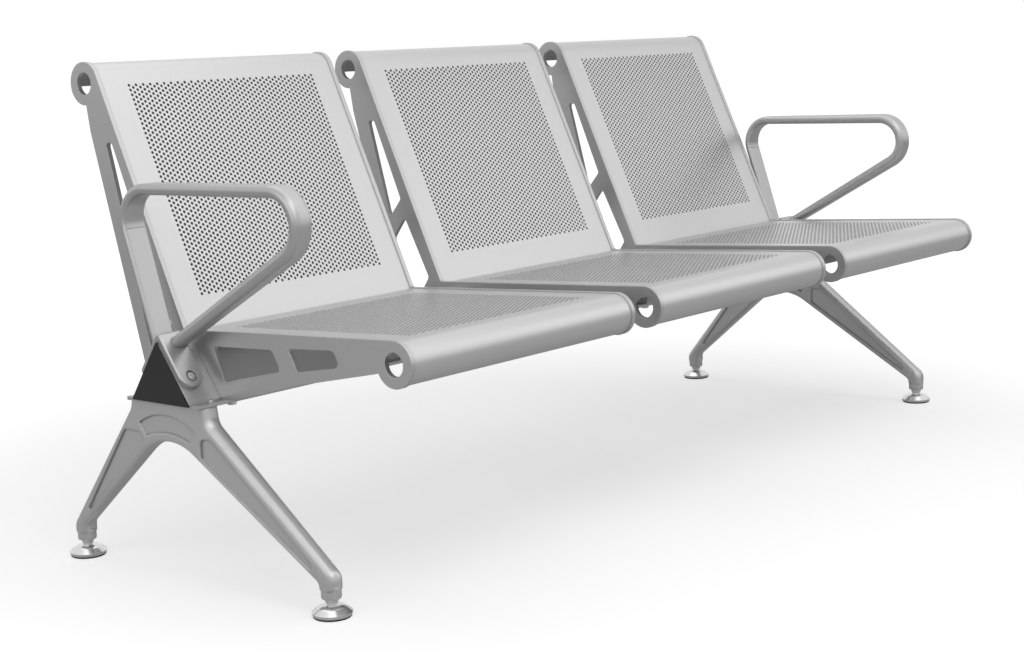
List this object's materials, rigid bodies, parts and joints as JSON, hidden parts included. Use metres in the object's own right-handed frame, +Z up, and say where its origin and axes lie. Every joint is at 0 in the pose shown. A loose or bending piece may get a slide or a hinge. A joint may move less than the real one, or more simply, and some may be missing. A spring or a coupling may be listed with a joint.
{
  "type": "beam seating",
  "caption": "Waiting-area bench: perforated steel seats on a three-sided beam, cast legs with levelling feet and looped end armrests.",
  "frame": {"origin": "on the floor, at the middle of the bench's length and depth", "axes": "+X along the beam, to the right of someone who faces the seats' front; -Y to the front; +Z up"},
  "size_m": [1.802, 0.7499, 0.796],
  "materials": {
    "powder_coat": "satin silver-grey powder coat on steel",
    "cast_aluminium": "satin silver-grey coat on cast aluminium",
    "cap_plastic": "black moulded plastic, fine grain",
    "zinc_steel": "zinc-plated steel",
    "bright_chrome": "bright chrome plate on pressed steel",
    "pad_rubber": "black rubber"
  },
  "bodies": {
    "frame": {"beam": "powder_coat", "left_end_cap": "cap_plastic", "left_leg": "cast_aluminium", "left_armrest": "cast_aluminium", "right_end_cap": "cap_plastic", "right_leg": "cast_aluminium", "right_armrest": "cast_aluminium", "left_seat_left_bracket": "cast_aluminium", "left_seat_right_bracket": "cast_aluminium", "left_back_panel": "powder_coat", "left_seat_panel": "powder_coat", "middle_seat_left_bracket": "cast_aluminium", "middle_seat_right_bracket": "cast_aluminium", "middle_back_panel": "powder_coat", "middle_seat_panel": "powder_coat", "right_seat_left_bracket": "cast_aluminium", "right_seat_right_bracket": "cast_aluminium", "right_back_panel": "powder_coat", "right_seat_panel": "powder_coat", "armrest_screws": "zinc_steel", "armrest_inserts": "zinc_steel", "bracket_bolts": "zinc_steel", "bracket_nuts": "zinc_steel", "leg_screws": "zinc_steel", "lock_nuts": "zinc_steel"},
    "left_front_foot": {"left_front_glide_pad": "pad_rubber", "left_front_glide_cup": "bright_chrome"},
    "left_front_stud": {"left_front_glide_stud": "zinc_steel"},
    "left_rear_foot": {"left_rear_glide_pad": "pad_rubber", "left_rear_glide_cup": "bright_chrome"},
    "left_rear_stud": {"left_rear_glide_stud": "zinc_steel"},
    "right_front_foot": {"right_front_glide_pad": "pad_rubber", "right_front_glide_cup": "bright_chrome"},
    "right_front_stud": {"right_front_glide_stud": "zinc_steel"},
    "right_rear_foot": {"right_rear_glide_pad": "pad_rubber", "right_rear_glide_cup": "bright_chrome"},
    "right_rear_stud": {"right_rear_glide_stud": "zinc_steel"}
  },
  "joints": [
    {"name": "left_front_height", "type": "slide", "parent": "frame", "child": "left_front_foot", "axis": [0, 0, -1], "range_m": [0, 0.012]},
    {"name": "left_front_turn", "type": "hinge", "parent": "left_front_foot", "child": "left_front_stud", "pos_m": [-0.871, -0.228, 0.03], "axis": [0, 0, 1], "range_deg": [-20, 2905]},
    {"name": "left_rear_height", "type": "slide", "parent": "frame", "child": "left_rear_foot", "axis": [0, 0, -1], "range_m": [0, 0.012]},
    {"name": "left_rear_turn", "type": "hinge", "parent": "left_rear_foot", "child": "left_rear_stud", "pos_m": [-0.871, 0.345, 0.03], "axis": [0, 0, 1], "range_deg": [-20, 2905]},
    {"name": "right_front_height", "type": "slide", "parent": "frame", "child": "right_front_foot", "axis": [0, 0, -1], "range_m": [0, 0.012]},
    {"name": "right_front_turn", "type": "hinge", "parent": "right_front_foot", "child": "right_front_stud", "pos_m": [0.871, -0.228, 0.03], "axis": [0, 0, 1], "range_deg": [-20, 2905]},
    {"name": "right_rear_height", "type": "slide", "parent": "frame", "child": "right_rear_foot", "axis": [0, 0, -1], "range_m": [0, 0.012]},
    {"name": "right_rear_turn", "type": "hinge", "parent": "right_rear_foot", "child": "right_rear_stud", "pos_m": [0.871, 0.345, 0.03], "axis": [0, 0, 1], "range_deg": [-20, 2905]}
  ],
  "couplings": [
    {"joint": "left_front_turn", "follows": "left_front_height", "rad_per_m": 4188.8},
    {"joint": "left_rear_turn", "follows": "left_rear_height", "rad_per_m": 4188.8},
    {"joint": "right_front_turn", "follows": "right_front_height", "rad_per_m": 4188.8},
    {"joint": "right_rear_turn", "follows": "right_rear_height", "rad_per_m": 4188.8}
  ]
}
